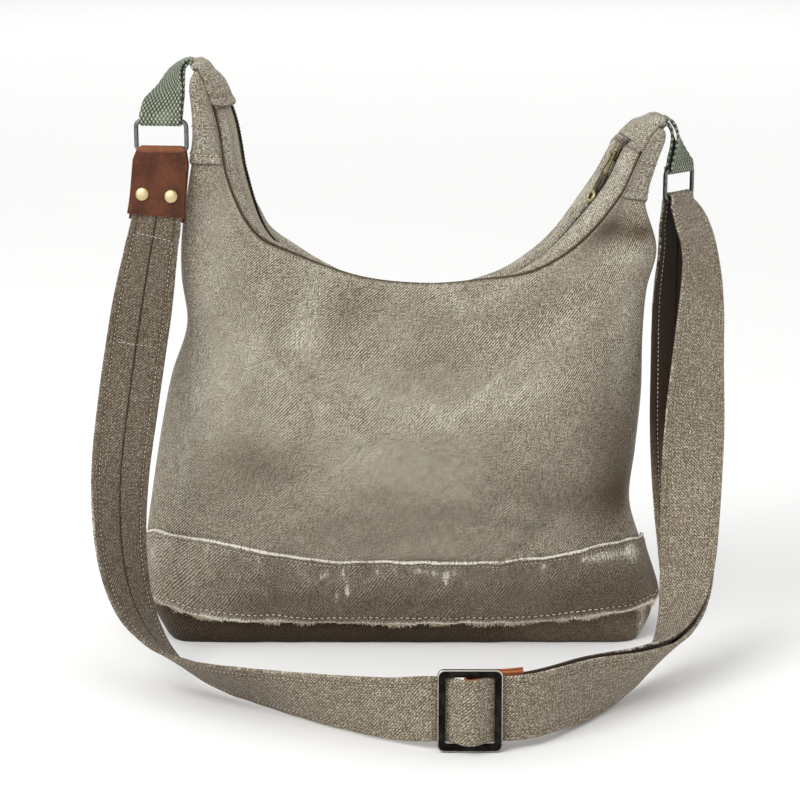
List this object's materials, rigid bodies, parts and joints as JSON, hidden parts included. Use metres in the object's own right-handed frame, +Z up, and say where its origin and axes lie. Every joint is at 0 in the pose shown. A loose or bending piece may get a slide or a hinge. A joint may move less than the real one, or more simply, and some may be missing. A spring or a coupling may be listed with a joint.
{
  "type": "crossbody bag",
  "caption": "Soft canvas crossbody bag with a scooped zip mouth between two raised horns, a hem band, and an adjustable strap on metal rings with a slide buckle.",
  "frame": {"origin": "middle of the flat bottom of the base panel, on the surface the bag stands on", "axes": "+Z up, -Y towards the front with the hem band, +X towards the lower horn"},
  "size_m": [0.4222, 0.2899, 0.3951],
  "materials": {
    "canvas": "washed, faded twill",
    "base_canvas": "washed twill, darker",
    "zip_tape": "woven tape",
    "zip_metal": "antique, dull",
    "webbing": "cotton webbing",
    "dark_steel": "blackened, worn at the edges",
    "leather": "waxed, scuffed",
    "rivet_brass": "polished"
  },
  "bodies": {
    "bag": {"front_panel": "canvas", "back_panel": "canvas", "base_panel": "base_canvas", "hem_band": "canvas", "front_zip_facing": "canvas", "front_zip_tape": "zip_tape", "back_zip_facing": "canvas", "back_zip_tape": "zip_tape", "zip_chain": "zip_metal", "left_zip_end_tab": "canvas", "right_zip_end_tab": "canvas", "left_horn_patch": "canvas", "right_horn_patch": "canvas", "left_ring": "dark_steel", "right_ring": "dark_steel", "left_webbing": "webbing", "right_webbing": "webbing", "leather_tab": "leather", "left_rivet": "rivet_brass", "right_rivet": "rivet_brass", "slide_buckle": "dark_steel", "buckle_keeper": "leather", "strap": "canvas", "zip_slider": "zip_metal"},
    "zip_pull": {"zip_pull": "zip_metal"}
  },
  "joints": [
    {"name": "zip_pull_hinge", "type": "hinge", "parent": "bag", "child": "zip_pull", "pos_m": [0.14326, 0, 0.33273], "axis": [0, 1, 0], "range_deg": [0, 165]}
  ]
}
